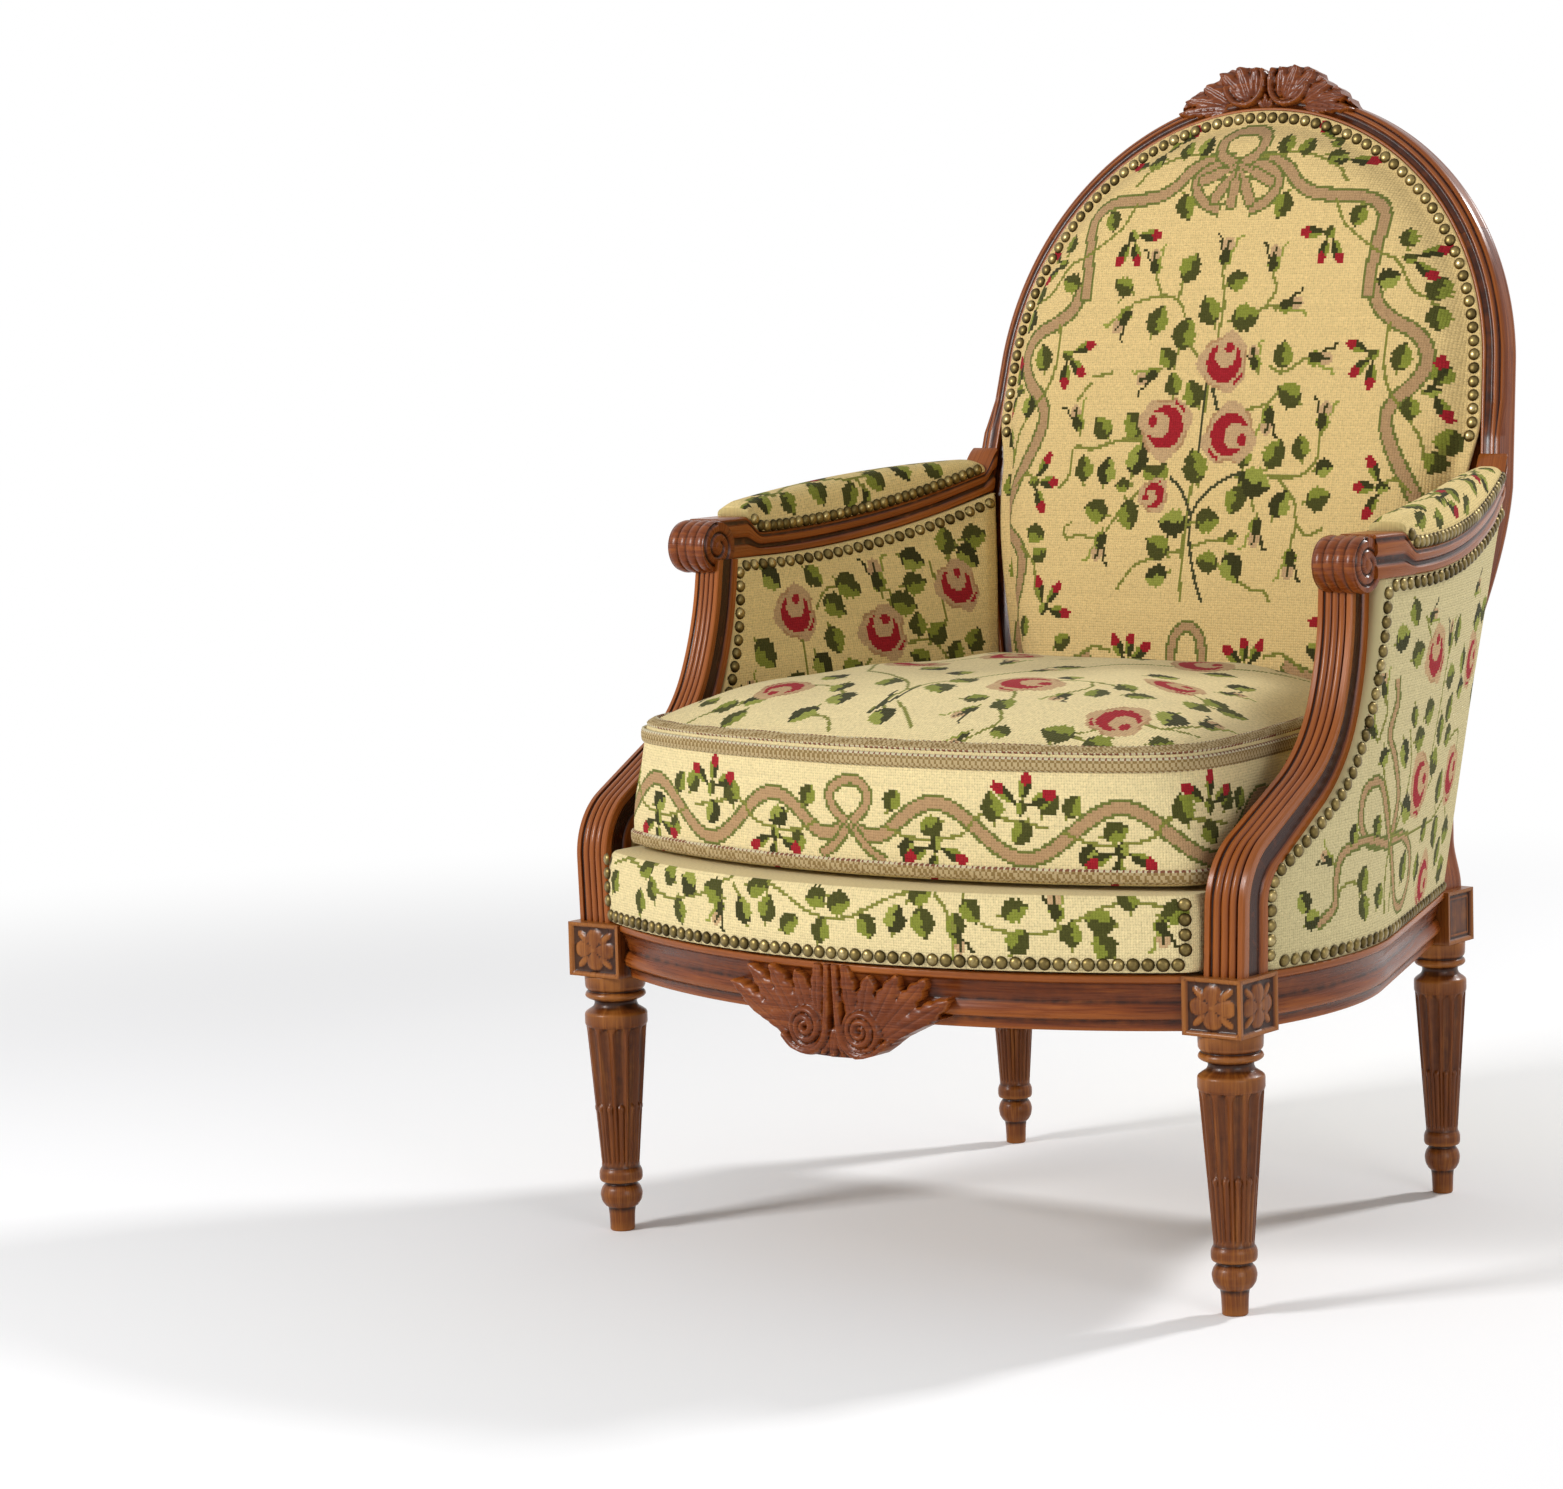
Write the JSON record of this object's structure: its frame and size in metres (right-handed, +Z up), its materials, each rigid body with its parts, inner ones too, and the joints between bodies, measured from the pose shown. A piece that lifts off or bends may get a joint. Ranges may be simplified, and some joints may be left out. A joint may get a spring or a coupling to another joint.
{
  "type": "upholstered armchair",
  "caption": "Round-backed bergere armchair with a carved show-wood frame, closed stuffed sides, scrolled arms, fluted legs and a loose seat cushion.",
  "frame": {"origin": "on the floor under the middle of the chair's overall box", "axes": "+X to the viewer's right when facing the chair, +Y towards its back, +Z up"},
  "size_m": [0.7036, 0.7066, 0.9752],
  "materials": {
    "leg_wood": "waxed, worn and a little lighter than the frame",
    "show_wood": "stained red-brown and waxed",
    "inner_wood": "plain hidden hardwood",
    "steel": "plain screws",
    "jute": "woven webbing and hessian",
    "needlepoint": "wool needlepoint, cream ground with roses, leaves and ribbons",
    "needlepoint_pale": "wool needlepoint on a paler ground",
    "braid": "scalloped gimp braid",
    "brass": "antique domed nail heads"
  },
  "bodies": {
    "chair": {"front_leg_left": "leg_wood", "front_leg_right": "leg_wood", "back_leg_left": "leg_wood", "back_leg_right": "leg_wood", "front_rail": "show_wood", "side_rail_left": "show_wood", "side_rail_right": "show_wood", "back_rail": "show_wood", "arm_support_left": "show_wood", "arm_support_right": "show_wood", "arm_rest_left": "show_wood", "arm_rest_right": "show_wood", "back_stile_left": "show_wood", "back_stile_right": "show_wood", "crest_rail": "show_wood", "corner_blocks": "inner_wood", "arm_dowels": "inner_wood", "lower_back_rail": "inner_wood", "corner_block_screws": "steel", "seat_webbing": "jute", "seat_hessian": "jute", "back_webbing": "jute", "seat_stuffing": "needlepoint", "back_stuffing": "needlepoint", "outside_back_cover": "needlepoint_pale", "inside_arm_panel_left": "needlepoint_pale", "inside_arm_panel_right": "needlepoint_pale", "outside_arm_cover_left": "needlepoint_pale", "outside_arm_cover_right": "needlepoint_pale", "arm_pad_left": "needlepoint_pale", "arm_pad_right": "needlepoint_pale", "back_nails": "brass", "outside_back_nails": "brass", "arm_pad_nails_left": "brass", "arm_pad_nails_right": "brass", "inside_arm_nails_left": "brass", "inside_arm_nails_right": "brass", "outside_arm_nails_left": "brass", "outside_arm_nails_right": "brass", "seat_nails": "brass"},
    "cushion": {"seat_cushion": "needlepoint", "cushion_top_braid": "braid", "cushion_bottom_braid": "braid"}
  },
  "joints": [
    {"name": "cushion_lift", "type": "slide", "parent": "chair", "child": "cushion", "axis": [0, 0, 1], "range_m": [0, 0.12]}
  ]
}
